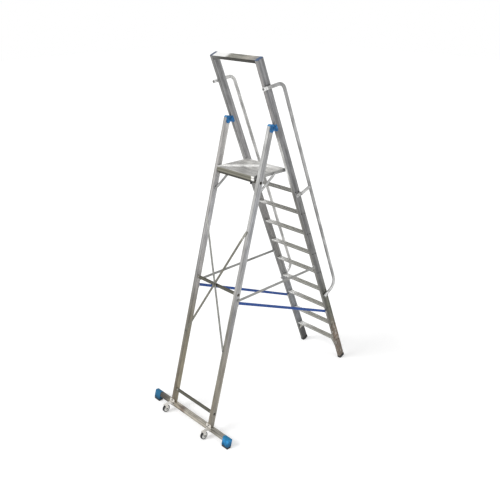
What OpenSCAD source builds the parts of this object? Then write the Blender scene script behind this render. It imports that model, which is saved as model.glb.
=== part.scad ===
// A one-sided platform step-ladder of aluminium: a climbing frame with ten treads, two handrails and
// a top bar, a support frame hinged to it, a platform that tips up, and rollers on the foot traverse.
// Millimetres. +Z is up, X is the width, the climbing side is -Y and the support side is +Y.

/* [Overall] */
// Height of the platform's top above the ground
platform_z = 2400; // [2300:5:2450]
// Height above the platform at which the climbing and support stile axes would meet
apex_rise = 535; // [500:1:560]
// Distance of that meeting point from the middle between the feet, towards the support side
apex_y = 174; // [150:1:200]
// Half the distance between the stile axes on the ground
foot_reach = 997; // [960:1:1040]
// Height of the stiles' top ends above the platform
top_rise = 989; // [900:1:1100]
// Rise from one step to the next
step_rise = 235.7; // [225:0.1:240]

/* [Sections] */
// Width of a climbing stile
climb_w = 34; // [30:1:40]
// Depth of a climbing stile
climb_d = 74; // [66:1:80]
// Width of a support stile
support_w = 36; // [30:1:40]
// Depth of a support stile
support_d = 54; // [48:1:60]
// Wall of the stiles, bars and treads
wall = 2.4; // [1.6:0.1:4]
// Outer corner radius of the stiles
corner_r = 4; // [3:0.5:8]
// Depth of a tread
tread_d = 66.8; // [60:0.2:78]
// Height of a tread
tread_h = 18; // [18:1:30]
// Bevel along a tread's rear lower edge
tread_bevel = 8; // [4:0.5:12]
// Thickness of the top bar along the stiles
top_bar_t = 28.6; // [20:0.2:40]
// Radius of the cross tubes
cross_r = 16; // [10:0.5:18]
// Radius of the handrail tube
rail_r = 16; // [12:0.5:17]
// Distance of the handrail from the stile axis
rail_off = 160; // [130:1:180]
// Height of the handrail's upper end above the platform
rail_top = 754; // [700:1:800]
// Height of the handrail's lower end below the platform
rail_low = 1470; // [1300:1:1500]
// Height of the handrail's stay below the platform
stay_drop = 279; // [240:1:320]

/* [Hinges] */
// Distance of the fold pin from the climbing stile's axis
pin_from_climb = 65; // [62:0.5:72]
// Distance of the fold pin from the support stile's axis
pin_from_support = 21; // [18:0.5:24]
// Radius of the hinge pins
pin_r = 6; // [5:0.5:8]
// Radial running clearance of the pins
run_fit = 0.05; // [0.02:0.01:0.1]
// Clearance between bodies that move past each other
gap = 0.3; // [0.2:0.05:0.6]
// Angle that is left between the stiles when the ladder is folded
fold_left = 0.4; // [0.3:0.1:6]
// Angle that is left between the tipped platform and the climbing stiles
tip_left = 0.25; // [0.25:0.25:6]

/* [Platform] */
// Half width of the platform
deck_half_w = 240; // [200:1:300]
// Distance between the platform's sides and the climbing stiles
deck_side = 20; // [19:1:26]
// Reach of the platform's front edge past the support stile's axis
deck_front = 50; // [40:1:60]
// Height of the platform's front profile
front_h = 54; // [46:1:58]
// Height of the platform's side rails
rail_h = 32; // [28:1:36]
// Height of the platform tube below the platform's top
tube_drop = 59; // [59:0.5:70]
// Height of the struts' lower pivots below the platform's top
strut_drop = 215; // [190:1:240]
// Half the thickness of a strut's flattened tube
strut_r = 8; // [6:0.5:8]
// Height of a strut's flattened tube
strut_w = 24; // [20:1:26]

/* [Bracing] */
// Height of the middle cross tube
mid_z = 1350; // [1320:1:1400]
// Height of the lower cross tube
low_z = 214; // [200:1:260]
// Half the height between the ends of the crossed braces
brace_rise = 543; // [480:1:600]
// Width of a brace
brace_w = 23; // [16:1:26]
// Height of the spreader bars
bar_z = 1296; // [1270:1:1310]
// Width of a spreader bar
bar_w = 24; // [18:1:26]
// Height of the straps' upper ends
strap_top_z = 1258; // [1230:1:1262]
// Height of the straps' lower ends
strap_low_z = 702; // [660:1:740]
// Width of the strap webbing
strap_w = 28; // [20:1:32]

/* [Traverse] */
// Half length of the traverse over its feet
traverse_half = 556; // [500:1:600]
// Height of the traverse's upper face, along the support stiles
traverse_top = 93; // [86:1:110]
// Height of the traverse's tube, along the support stiles
traverse_h = 46; // [40:1:54]
// Depth of the traverse's tube
traverse_d = 40; // [34:1:50]
// Length of a traverse foot
foot_len = 80; // [66:1:90]
// Radius of a roller's tyre
roller_r = 38; // [30:0.5:40]
// Distance of a roller outside the stile axis
roller_out = 12; // [6:1:16]

/* [Hidden] */
$fn = 48;
// the stiles lean in from the feet to the point where their axes meet
apex_z = platform_z + apex_rise;
climb_lean = atan((foot_reach + apex_y) / apex_z);
support_lean = atan((foot_reach - apex_y) / apex_z);
fold_angle = climb_lean + support_lean - fold_left;
tip_angle = 90 - climb_lean - tip_left;
half_w = deck_half_w + deck_side + climb_w / 2;
ca = cos(climb_lean);
sa = sin(climb_lean);
cb = cos(support_lean);
sb = sin(support_lean);
inner_x = half_w - climb_w / 2;
outer_x = half_w + climb_w / 2;
s_inner_x = half_w - support_w / 2;
s_outer_x = half_w + support_w / 2;
side_x = max(outer_x, s_outer_x);
// where the stile axes are at a height, and where a point is along and across a stile
function climb_y(z) = -foot_reach + z * sa / ca;
function support_y(z) = foot_reach - z * sb / cb;
function climb_u(p) = (p[0] + foot_reach) * sa + p[1] * ca;
function climb_v(p) = (p[0] + foot_reach) * ca - p[1] * sa;
function support_u(p) = -(p[0] - foot_reach) * sb + p[1] * cb;
function support_v(p) = (p[0] - foot_reach) * cb + p[1] * sb;
function turned(p, a) = [p[0] * cos(a) - p[1] * sin(a), p[0] * sin(a) + p[1] * cos(a)];
// the fold pin, at its stated distance from both stile axes
reach_c = pin_from_climb - foot_reach * ca;
reach_s = foot_reach * cb - pin_from_support;
fold_y = (reach_c * sb + reach_s * sa) / sin(climb_lean + support_lean);
fold_z = (ca * reach_s - cb * reach_c) / sin(climb_lean + support_lean);
fold_pin = [fold_y, fold_z];
fold_uc = climb_u(fold_pin);
fold_us = support_u(fold_pin);
// the platform's pivot, the strut's lower pivot and the strut's upper end, which meets the platform's
// side both when the ladder is open and when it is folded
tip_z = platform_z - 20;
tip_pin = [climb_y(tip_z) + 20 / ca, tip_z];
strut_z = platform_z - strut_drop;
strut_pin = [support_y(strut_z), strut_z];
strut_folded = fold_pin + turned(strut_pin - fold_pin, -fold_angle);
link_open = tip_pin - strut_pin;
link_shut = turned(tip_pin - strut_folded, -tip_angle);
strut_dz = -5;
link_sq = (link_shut * link_shut - link_open * link_open) / 2;
strut_dy = (link_sq - strut_dz * (link_open[1] - link_shut[1])) / (link_open[0] - link_shut[0]);
strut_top = tip_pin + [strut_dy, strut_dz];
strut_run = strut_top - strut_pin;
strut_len = norm(strut_run);
strut_tilt = atan2(strut_run[1], strut_run[0]);
strut_x = (s_inner_x + deck_half_w) / 2 + 0.5;
// climbing frame, along its stiles
shoe_u = 6;
shoe_lip = 2;
shoe_floor = 12;
shoe_h = 34;
stile_u0 = shoe_u + shoe_floor;
top_u = (platform_z + top_rise) / ca;
cap_t = 3;
plug_fit = 0.2;
step_z = [for (k = [1:9]) platform_z - step_rise * (10 - k)];
// traverse and rollers
traverse_low = traverse_top - traverse_h;
traverse_front = foot_reach - traverse_low * sb + traverse_d / 2 * cb;
sole_h = 19;
bracket_t = 4;
bracket_up = 24;
roller_x = half_w + roller_out;
roller_y = traverse_front + roller_r + 27;
roller_z = roller_r + 3;
hub_r = roller_r - 8;
tyre_w = 24;
cheek_x = tyre_w / 2 + 2;
// the middle of the whole in Y
heel_y = -foot_reach + shoe_u * sa - (climb_d / 2 + shoe_lip) * ca;
mid_y = (heel_y + roller_y + roller_r) / 2;
deck_y0 = climb_y(platform_z) + 27;
deck_y1 = support_y(platform_z) + deck_front;
deck_t = 5;
edge_t = 4;
tube_z = platform_z - tube_drop;
tube_y = support_y(tube_z);
bar_x = side_x + 1;
bar_t = 5;
bar_pin = [climb_y(bar_z) + (climb_d / 2 + 15) / ca, bar_z];
bar_end = support_y(bar_z) - 10;
strap_t = 3;
clip_t = 8;

module world() {
    translate([0, -mid_y, 0]) children();
}

module climb() {
    translate([0, -foot_reach - mid_y, 0]) rotate([-climb_lean, 0, 0]) children();
}

module support() {
    translate([0, foot_reach - mid_y, 0]) rotate([support_lean, 0, 0]) children();
}

module on_side(s) {
    if (s > 0) {
        children();
    } else {
        mirror([1, 0, 0]) children();
    }
}

module both() {
    children();
    mirror([1, 0, 0]) children();
}

// draws a flat outline of depth and height, and runs it along the width
module along_x(length) {
    rotate([90, 0, 90]) linear_extrude(length, center = true) children();
}

// a rod along the width from one place to another
module rod(x0, x1, r) {
    translate([x0, 0, 0]) rotate([0, 90, 0]) cylinder(h = x1 - x0, r = r);
}

module rounded(w, d, r) {
    square([w - 2 * r, d], center = true);
    square([w, d - 2 * r], center = true);
    for (x = [-1, 1], y = [-1, 1]) {
        translate([x * (w / 2 - r), y * (d / 2 - r)]) circle(r = r);
    }
}

module hollow(w, d, r) {
    difference() {
        rounded(w, d, r);
        rounded(w - 2 * wall, d - 2 * wall, r - wall + 0.4);
    }
}

module climb_stile(s) {
    color([0.74, 0.74, 0.72]) on_side(s) climb() translate([half_w, 0, stile_u0]) {
        linear_extrude(top_u - cap_t - stile_u0) hollow(climb_w, climb_d, corner_r);
    }
}

// a tread's outline, drawn in by a depth, with its rear lower edge bevelled
module tread_outline(depth) {
    cut = tread_bevel - depth * (2 - sqrt(2));
    rear = tread_d / 2 - depth;
    low = depth - tread_h;
    difference() {
        translate([0, -tread_h / 2]) {
            rounded(tread_d - 2 * depth, tread_h - 2 * depth, max(corner_r - 1 - depth, 0.5));
        }
        polygon([[rear - cut, low], [rear, low + cut], [rear + 1, low + cut], [rear + 1, low - 1],
            [rear - cut, low - 1]]);
    }
}

// a ribbed hollow tread between the stiles
module step(k) {
    groove = tread_d / 12;
    color([0.72, 0.72, 0.7]) world() translate([0, climb_y(step_z[k - 1]), step_z[k - 1]]) {
        along_x(2 * inner_x) difference() {
            tread_outline(0);
            tread_outline(wall);
            for (i = [-4.5:1:4.5]) {
                translate([i * groove, 0]) square([groove / 2, 2], center = true);
            }
        }
    }
}

// the flanged beads that hold the treads, on the stiles' outer faces
module step_rivets() {
    color([0.6, 0.6, 0.58]) both() world() for (z = step_z, d = [-19, 19]) {
        translate([0, climb_y(z - tread_h / 2) + d, z - tread_h / 2]) difference() {
            rod(outer_x, outer_x + 2.2, 6.5);
            rod(outer_x + 1, outer_x + 3, 3);
        }
    }
}

module step_gussets() {
    under = step_z[0] - tread_h;
    color([0.66, 0.65, 0.62]) both() world() translate([0, climb_y(under) + 12, 0]) {
        rotate([90, 0, 0]) linear_extrude(4) {
            polygon([[inner_x, under], [inner_x - 62, under], [inner_x, under - 74]]);
        }
    }
}

// the hollow bar across the top, with a small fillet under each end
module top_bar() {
    fillet = 16;
    color([0.78, 0.77, 0.74]) climb() {
        translate([0, 0, top_u - top_bar_t / 2]) along_x(2 * inner_x) {
            hollow(climb_d, top_bar_t, corner_r - 1);
        }
        both() translate([inner_x - fillet, climb_d / 2 - corner_r, top_u - top_bar_t - fillet]) {
            rotate([90, 0, 0]) linear_extrude(climb_d - 2 * corner_r) difference() {
                square(fillet);
                circle(r = fillet);
            }
        }
    }
}

module top_caps() {
    in_w = climb_w - 2 * wall - 2 * plug_fit;
    in_d = climb_d - 2 * wall - 2 * plug_fit;
    color([0.12, 0.2, 0.36]) both() climb() translate([half_w, 0, top_u - cap_t]) {
        linear_extrude(cap_t) rounded(climb_w, climb_d, corner_r);
        translate([0, 0, -24]) linear_extrude(24) rounded(in_w, in_d, corner_r / 2);
    }
}

// rubber shoes around the stiles' lower ends, cut level with the ground
module climb_feet() {
    in_w = climb_w - 2 * wall - 2 * plug_fit;
    in_d = climb_d - 2 * wall - 2 * plug_fit;
    color([0.08, 0.08, 0.08]) both() difference() {
        climb() translate([half_w, 0, shoe_u]) {
            difference() {
                linear_extrude(shoe_h) rounded(climb_w + 2 * shoe_lip, climb_d + 2 * shoe_lip, 6);
                translate([0, 0, shoe_floor]) linear_extrude(shoe_h) {
                    rounded(climb_w, climb_d, corner_r);
                }
            }
            translate([0, 0, shoe_floor]) linear_extrude(40) rounded(in_w, in_d, corner_r / 2);
        }
        translate([0, -foot_reach - mid_y - 200, -100]) cube([half_w * 2, 400, 100]);
    }
}

// the handrail's line beside the stile: bends of these radii, arms at these angles to the stile
rail_x = outer_x + rail_r;
rail_wall = 2;
top_turn = 76.25;
low_turn = 80;
top_bend = 70;
low_bend = 97;
top_arm_u = (platform_z + rail_top) / ca;
low_arm_u = (platform_z - rail_low) / ca;
top_corner = top_arm_u - rail_off * tan(90 - top_turn);
low_corner = low_arm_u + rail_off * tan(90 - low_turn);
run_u1 = top_corner - top_bend * tan(top_turn / 2);
run_u0 = low_corner + low_bend * tan(low_turn / 2);
top_tip = 72;
low_tip = climb_d / 2 - 8;
stay_u = (platform_z - stay_drop) / ca;

// the straight length and the two bent ends meet end to end
seam = 0.02;

module rail_line(r) {
    top_straight = (rail_off + top_tip) / sin(top_turn) - top_bend * tan(top_turn / 2);
    low_straight = (rail_off + low_tip) / sin(low_turn) - low_bend * tan(low_turn / 2);
    translate([0, -rail_off, run_u0 + seam]) cylinder(h = run_u1 - run_u0 - 2 * seam, r = r);
    // upper bend and arm
    translate([0, top_bend - rail_off, run_u1]) rotate([90, 0, 90]) {
        rotate([0, 0, 180 - top_turn]) rotate_extrude(angle = top_turn) {
            translate([top_bend, 0]) circle(r = r);
        }
        rotate([0, 0, 180 - top_turn]) translate([top_bend, 0, 0]) rotate([90, 0, 0]) {
            cylinder(h = top_straight, r = r);
        }
    }
    // lower bend and arm
    translate([0, low_bend - rail_off, run_u0]) rotate([90, 0, 90]) {
        rotate([0, 0, 180 + low_turn]) rotate([180, 0, 0]) rotate_extrude(angle = low_turn) {
            translate([low_bend, 0]) circle(r = r);
        }
        rotate([0, 0, 180 + low_turn]) translate([low_bend, 0, 0]) rotate([-90, 0, 0]) {
            cylinder(h = low_straight, r = r);
        }
    }
}

rail_bolt_r = 4;
bolt_spots = [[0, top_arm_u], [0, low_arm_u]];

module handrail(s) {
    color([0.8, 0.8, 0.78]) on_side(s) climb() difference() {
        translate([rail_x, 0, 0]) rail_line(rail_r);
        translate([rail_x, 0, 0]) rail_line(rail_r - rail_wall);
        for (p = bolt_spots) {
            translate([0, p[0], p[1]]) rod(outer_x - 1, rail_x + 2 * rail_r, rail_bolt_r);
        }
    }
}

// short stays from the handrails to the stiles, with a flat pad under the bolt
module handrail_brackets() {
    stay_r = 15;
    pad_r = 16;
    color([0.8, 0.8, 0.78]) both() climb() translate([outer_x, 0, stay_u]) difference() {
        union() {
            translate([stay_r, -rail_off, 0]) rotate([-90, 0, 0]) {
                cylinder(h = rail_off - climb_d / 2 + 10, r = stay_r);
            }
            translate([0, -climb_d / 2 - 6, -pad_r]) cube([5, climb_d / 2 + 16, 2 * pad_r]);
            translate([0, 10, 0]) rod(0, 5, pad_r);
        }
        translate([rail_r, -rail_off, -40]) cylinder(h = 80, r = rail_r);
        translate([0, 0, 0]) rod(-1, 40, rail_bolt_r);
    }
}

module handrail_bolts() {
    color([0.5, 0.5, 0.5]) both() climb() {
        for (p = bolt_spots) {
            translate([0, p[0], p[1]]) {
                rod(outer_x, outer_x + 2 * rail_r + 1, rail_bolt_r);
                rod(outer_x + 2 * rail_r, outer_x + 2 * rail_r + 5, 7.5);
            }
        }
        translate([0, 0, stay_u]) {
            rod(outer_x, outer_x + 5, rail_bolt_r);
            rod(outer_x + 5, outer_x + 10, 7.5);
        }
    }
}

// fold hinge: a saddle on the climbing stile with a tongue, and a forked cap on the support stile
tongue_w = 16;
tongue_r = 14;
ear_r = 23;
cap_w = support_w;
cheek_t = 3;
saddle_side = 16;

module hinge_brackets() {
    t = 4;
    face_v = climb_d / 2;
    color([0.05, 0.35, 0.75]) both() climb() translate([half_w, 0, fold_uc]) difference() {
        union() {
            translate([-climb_w / 2 - t, face_v, -46]) cube([climb_w + 2 * t, t, 62]);
            for (x = [-climb_w / 2 - t, climb_w / 2]) {
                translate([x, face_v - saddle_side, -46]) cube([t, saddle_side, 62]);
            }
            translate([-tongue_w / 2, face_v + t, -tongue_r]) {
                cube([tongue_w, pin_from_climb - face_v - t, 2 * tongue_r]);
            }
            translate([0, pin_from_climb, 0]) rod(-tongue_w / 2, tongue_w / 2, tongue_r);
        }
        translate([0, pin_from_climb, 0]) rod(-cap_w, cap_w, pin_r);
    }
}

module hinge_pins() {
    color([0.6, 0.6, 0.6]) both() world() translate([half_w, fold_y, fold_z]) {
        reach = cap_w / 2 + cheek_t + gap;
        rod(-reach, reach, pin_r);
        rod(-reach - 3, -reach, pin_r + 4);
        rod(reach, reach + 3, pin_r + 4);
    }
}

// the support stile is notched for the ears, this far across and this far below the pin
notch_v = -6;
notch_u = tongue_r + 4;
stile_over = 8;
stile_end_u = fold_us + stile_over;

module hinge_caps() {
    half_d = support_d / 2;
    plug_w = support_w - 2 * wall - 2 * plug_fit;
    plug_d = support_d - 2 * wall - 2 * plug_fit;
    slot = tongue_w / 2 + 0.5;
    cheek_low = -40;
    cheek_top = stile_over + 4;
    // the open tongue's upper edge passes this far over the pin
    slot_reach = tongue_r * sin(climb_lean + support_lean) + 1;
    color([0.05, 0.35, 0.75]) both() support() translate([half_w, 0, fold_us]) difference() {
        union() {
            // round head on the stile's end
            difference() {
                translate([0, 0, 3]) rod(-cap_w / 2, cap_w / 2, half_d);
                translate([-cap_w, -half_d - 1, -60]) cube([2 * cap_w, 2 * half_d + 2, 60 + stile_over]);
            }
            // ears in the notch
            difference() {
                union() {
                    translate([0, -pin_from_support, 0]) rod(-cap_w / 2, cap_w / 2, ear_r);
                    translate([-cap_w / 2, -half_d, -notch_u]) {
                        cube([cap_w, half_d + notch_v - plug_fit, notch_u + stile_over + 1]);
                    }
                }
                translate([-cap_w, notch_v - plug_fit, -60]) cube([2 * cap_w, 100, 60 + stile_over]);
                translate([0, 0, -80]) linear_extrude(80 - notch_u) {
                    rounded(support_w, support_d, corner_r);
                }
            }
            // cheeks on the stile's sides, carried up over the head's lower edge
            for (x = [-cap_w / 2 - cheek_t, cap_w / 2]) {
                translate([x + cheek_t / 2, -2.5, (cheek_low + cheek_top) / 2]) along_x(cheek_t) {
                    rounded(49, cheek_top - cheek_low, 18);
                }
            }
            // plug inside the stile
            translate([0, 0, -notch_u - 40]) linear_extrude(notch_u + 41 + stile_over) {
                rounded(plug_w, plug_d, corner_r / 2);
            }
        }
        translate([0, -pin_from_support, 0]) {
            rod(-cap_w, cap_w, pin_r + run_fit);
            rod(-slot, slot, tongue_r + 1);
            translate([-slot, -60, -tongue_r - 1]) cube([2 * slot, 60 + slot_reach, 90]);
        }
    }
}

module support_stile(s) {
    color([0.74, 0.74, 0.72]) on_side(s) support() translate([half_w, 0, 0]) difference() {
        translate([0, 0, traverse_top]) linear_extrude(stile_end_u - traverse_top) {
            hollow(support_w, support_d, corner_r);
        }
        for (z = [low_z, mid_z, tube_z]) {
            translate([0, 0, z / cb]) rod(-support_w, support_w, cross_r);
        }
        translate([-support_w, -support_d, fold_us - notch_u]) {
            cube([2 * support_w, support_d + notch_v, 100]);
        }
    }
}

module cross_tube(z) {
    color([0.7, 0.7, 0.68]) support() translate([0, 0, z / cb]) difference() {
        rod(-s_outer_x, s_outer_x, cross_r);
        rod(-s_outer_x - 1, s_outer_x + 1, cross_r - 2);
    }
}

// crossed braces on the support frame's outer side, one in front of the other
brace_t = 3;
brace_x = half_w - 9;
brace_mid_u = (mid_z + 12) / cb;
brace_du = brace_rise / cb;
brace_len = norm([brace_x, brace_du]);

module brace(s, layer) {
    face = support_d / 2 + layer * brace_t;
    tilt = atan2(s * brace_x, brace_du);
    color([0.74, 0.74, 0.7]) support() translate([0, face, brace_mid_u]) rotate([0, tilt, 0]) {
        difference() {
            union() {
                translate([-brace_w / 2, 0, -brace_len]) cube([brace_w, brace_t, 2 * brace_len]);
                for (e = [-1, 1]) {
                    translate([0, 0, e * brace_len]) rotate([-90, 0, 0]) {
                        cylinder(h = brace_t, r = brace_w / 2);
                    }
                }
            }
            for (e = [-1, 0, 1]) {
                translate([0, -1, e * brace_len]) rotate([-90, 0, 0]) {
                    cylinder(h = brace_t + 2, r = 4);
                }
            }
        }
    }
}

// bolts of the braces, with washers behind the outer brace, and of the traverse's brackets
module bolt(length, head) {
    rotate([-90, 0, 0]) {
        cylinder(h = length + head, r = 4);
        translate([0, 0, length]) cylinder(h = head, r = 7);
    }
}

module support_bolts() {
    face = support_d / 2;
    color([0.55, 0.55, 0.55]) {
        support() {
            for (x = [-1, 1], e = [-1, 1]) {
                outer = x * e > 0 ? 0 : 1;
                translate([x * brace_x, face, brace_mid_u + e * brace_du]) {
                    bolt(brace_t * (1 + outer), 4);
                    if (outer == 1) {
                        rotate([-90, 0, 0]) cylinder(h = brace_t, r = 8);
                    }
                }
            }
            // the middle bolt stands on the tube below the crossing
            translate([0, cross_r, brace_mid_u]) intersection() {
                union() {
                    bolt(face + 2 * brace_t - cross_r, 4);
                    translate([0, -12, 0]) rotate([-90, 0, 0]) {
                        cylinder(h = face - cross_r + 12, r = 8);
                    }
                }
                difference() {
                    translate([-20, -30, -20]) cube([40, 80, 40]);
                    translate([0, -cross_r, mid_z / cb - brace_mid_u]) rod(-30, 30, cross_r);
                }
            }
        }
        both() support() {
            translate([half_w - 20, traverse_d / 2 + bracket_t, traverse_top - bracket_t - 10]) bolt(0, 4);
            translate([half_w, support_d / 2 + bracket_t, traverse_top + bracket_up / 2]) bolt(0, 4);
        }
    }
}

module traverse() {
    tube_half = traverse_half - foot_end;
    color([0.7, 0.68, 0.64]) support() {
        translate([0, 0, traverse_top - traverse_h / 2]) along_x(2 * tube_half) {
            hollow(traverse_d, traverse_h, corner_r - 1);
        }
    }
}

// plastic feet pushed over the traverse's ends, cut level for the rubber soles
foot_wall = 3;
foot_end = 6;
foot_round = 12;
foot_d = traverse_d + 2 * foot_wall;

module traverse_feet() {
    foot_mid = traverse_half - foot_len / 2;
    top = traverse_top + foot_wall;
    color([0.05, 0.35, 0.75]) both() difference() {
        support() {
            translate([foot_mid, 0, 0]) along_x(foot_len) {
                translate([0, (top - foot_round) / 2]) square([foot_d, top - foot_round], center = true);
                translate([0, top - foot_d / 2]) rounded(foot_d, foot_d, foot_round);
            }
        }
        support() translate([traverse_half - foot_end - 100, 0, traverse_top - traverse_h / 2]) {
            along_x(200) rounded(traverse_d, traverse_h, corner_r - 1);
        }
        world() translate([0, foot_reach - 100, sole_h - 100]) cube([2 * traverse_half, 200, 100]);
    }
}

module traverse_soles() {
    color([0.07, 0.07, 0.07]) both() world() {
        translate([traverse_half - foot_len / 2, support_y(sole_h), 0]) linear_extrude(sole_h) {
            rounded(foot_len, foot_d / cb + 2, 6);
        }
    }
}

// bent plates that join the stiles to the traverse's front face
module traverse_brackets() {
    stile_v = support_d / 2;
    tube_v = traverse_d / 2;
    color([0.84, 0.84, 0.82]) both() support() translate([half_w, 0, 0]) along_x(64) {
        polygon([
            [stile_v, traverse_top + bracket_up], [stile_v, traverse_top], [tube_v, traverse_top],
            [tube_v, traverse_low + 2], [tube_v + bracket_t, traverse_low + 2],
            [tube_v + bracket_t, traverse_top - bracket_t],
            [stile_v + bracket_t, traverse_top - bracket_t],
            [stile_v + bracket_t, traverse_top + bracket_up]
        ]);
    }
}

// forks on the brackets: a plate over each roller, with two cheeks down to its axle
module roller_forks() {
    back = traverse_d / 2 + bracket_t;
    plate_t = 4;
    plate_z = roller_z + roller_r + 4;
    half_x = cheek_x + 3;
    low = traverse_low + 3;
    top = (plate_z + plate_t - back * sb) / cb;
    color([0.75, 0.75, 0.74]) both() difference() {
        union() {
            world() translate([roller_x - half_x, roller_y - 100, plate_z]) {
                cube([2 * half_x, 118, plate_t]);
            }
            world() translate([roller_x, roller_y, 0]) for (x = [-half_x + 1.5, half_x - 1.5]) {
                translate([x, 0, 0]) along_x(3) {
                    polygon([[-18, plate_z], [18, plate_z], [9, roller_z], [-9, roller_z]]);
                    translate([0, roller_z]) circle(r = 9);
                }
            }
            support() translate([roller_x - half_x, back, low]) {
                cube([2 * half_x, plate_t, top - low]);
            }
        }
        support() translate([0, back - 200, -50]) cube([2 * traverse_half, 200, 400]);
        world() translate([roller_x, roller_y, roller_z]) rod(-40, 40, 4);
    }
}

module roller_axles() {
    color([0.55, 0.55, 0.55]) both() world() translate([roller_x, roller_y, roller_z]) {
        rod(-cheek_x - 3, cheek_x + 3, 4);
        rod(-cheek_x - 6, -cheek_x - 3, 7);
        rod(cheek_x + 3, cheek_x + 6, 7);
    }
}

module roller_wheel(s) {
    w = tyre_w / 2;
    color([0.75, 0.75, 0.74]) on_side(s) world() translate([roller_x, roller_y, roller_z]) {
        difference() {
            union() {
                rod(-w + 2, w - 2, hub_r);
                rod(-w - 1, w + 1, 9);
            }
            rod(-20, 20, 4 + run_fit);
            rod(-20, -w + 5, hub_r - 4);
            rod(w - 5, 20, hub_r - 4);
        }
        for (e = [-1, 1]) {
            difference() {
                translate([e > 0 ? w - 5 : -w - 1, 0, 0]) rod(0, 6, 9);
                rod(-20, 20, 4 + run_fit);
            }
        }
    }
}

module roller_tyre(s) {
    w = tyre_w / 2;
    color([0.1, 0.1, 0.1]) on_side(s) world() translate([roller_x, roller_y, roller_z]) {
        rotate([0, 90, 0]) rotate_extrude() {
            polygon([
                [hub_r, -w], [roller_r - 3, -w], [roller_r, -w + 4], [roller_r, w - 4],
                [roller_r - 3, w], [hub_r, w]
            ]);
        }
    }
}

// small clips that hold the ends of the straps
module strap_clips_climb() {
    color([0.55, 0.55, 0.55]) both() climb() {
        translate([half_w - 13, climb_d / 2, strap_low_z / ca - 20]) cube([26, clip_t, 40]);
    }
}

module strap_clips_support() {
    color([0.55, 0.55, 0.55]) both() support() {
        translate([half_w - 13, -support_d / 2 - clip_t, strap_top_z / cb - 20]) cube([26, clip_t, 40]);
    }
}

// webbing pulled straight between the clips
strap_from = [climb_y(strap_low_z) + (climb_d / 2 + clip_t) / ca, strap_low_z];
strap_to = [support_y(strap_top_z) - (support_d / 2 + clip_t) / cb, strap_top_z];
strap_run = strap_to - strap_from;

module strap(s) {
    tilt = atan2(strap_run[1], strap_run[0]);
    color([0.1, 0.16, 0.45]) on_side(s) difference() {
        world() translate([half_w - strap_t / 2, strap_from[0], strap_from[1]]) rotate([tilt, 0, 0]) {
            translate([0, -20, -strap_w / 2]) cube([strap_t, norm(strap_run) + 40, strap_w]);
        }
        climb() translate([half_w - 40, -100, strap_low_z / ca - 200]) {
            cube([80, 100 + climb_d / 2 + clip_t, 400]);
        }
        support() translate([half_w - 40, -support_d / 2 - clip_t, strap_top_z / cb - 200]) {
            cube([80, 100, 400]);
        }
    }
}

// pivots on which the platform tips, between the climbing stiles and its side rails
side_t = 6;

module platform_pins() {
    color([0.6, 0.6, 0.6]) both() world() translate([0, tip_pin[0], tip_pin[1]]) {
        rod(deck_half_w + gap, inner_x, pin_r + 3);
        rod(deck_half_w - side_t - gap, inner_x, pin_r);
        rod(deck_half_w - side_t - gap - 4, deck_half_w - side_t - gap, pin_r + 3);
    }
}

// the ribbed deck, with a turned-down edge at the back
module platform_deck() {
    depth = deck_y1 - deck_y0;
    ribs = 30;
    pitch = depth / ribs;
    color([0.78, 0.78, 0.76]) world() translate([0, deck_y0, platform_z]) {
        along_x(2 * deck_half_w) difference() {
            union() {
                translate([0, -deck_t]) square([depth, deck_t]);
                translate([0, -rail_h]) square([edge_t, rail_h]);
            }
            for (i = [1:ribs - 2]) {
                translate([(i + 0.5) * pitch, 0]) square([pitch / 2, 2.4], center = true);
            }
        }
    }
}

// the profile along the front edge, which hangs over the platform tube
module platform_front() {
    color([0.7, 0.69, 0.62]) world() translate([0, deck_y1, platform_z - deck_t]) {
        along_x(2 * deck_half_w) polygon([
            [0, 0], [0, deck_t - front_h], [-edge_t, deck_t - front_h],
            [-edge_t, -edge_t], [-16, -edge_t], [-16, 0]
        ]);
    }
}

module platform_side(s) {
    low = platform_z - deck_t - rail_h;
    back = tip_pin[0] - 16;
    color([0.45, 0.45, 0.44]) on_side(s) world() difference() {
        translate([deck_half_w - side_t / 2, 0, 0]) along_x(side_t) difference() {
            translate([back, low]) square([deck_y1 - edge_t - back, rail_h]);
            translate([deck_y1 - 20, platform_z - deck_t - edge_t]) square([20, edge_t]);
            translate([deck_y0, platform_z - rail_h]) square([edge_t, rail_h]);
            translate([back - 1, low - 1]) square([8, 8]);
        }
        translate([0, tip_pin[0], tip_pin[1]]) {
            rod(deck_half_w - 20, deck_half_w + 20, pin_r + run_fit);
        }
    }
}

// plates inside the front corners that sit on the platform tube
module platform_hooks() {
    front = deck_y1 - edge_t;
    seat = tube_z + cross_r + gap;
    low = platform_z - front_h + 2;
    color([0.86, 0.86, 0.84]) both() world() {
        translate([deck_half_w - side_t - 2.5, 0, 0]) along_x(5) difference() {
            translate([tube_y - 18, low]) square([front - tube_y + 18, platform_z - deck_t - edge_t - low]);
            translate([tube_y - 30, low - 20]) {
                square([30 + cross_r + gap, seat - low + 20]);
            }
        }
    }
}

module platform_knob() {
    color([0.06, 0.06, 0.06]) world() {
        translate([35 - deck_half_w, deck_y1 - edge_t / 2, platform_z - front_h - 22]) {
            cylinder(h = 16, r = 10);
            cylinder(h = 22, r = 4);
        }
    }
}

// struts between the support stiles and the platform's sides
module strut_pins() {
    color([0.6, 0.6, 0.6]) both() world() translate([0, strut_pin[0], strut_pin[1]]) {
        rod(strut_x + 3 + gap, s_inner_x, 9);
        rod(strut_x - 3 - gap, s_inner_x, 5);
        rod(strut_x - 6, strut_x - 3 - gap, 8);
    }
}

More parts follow.
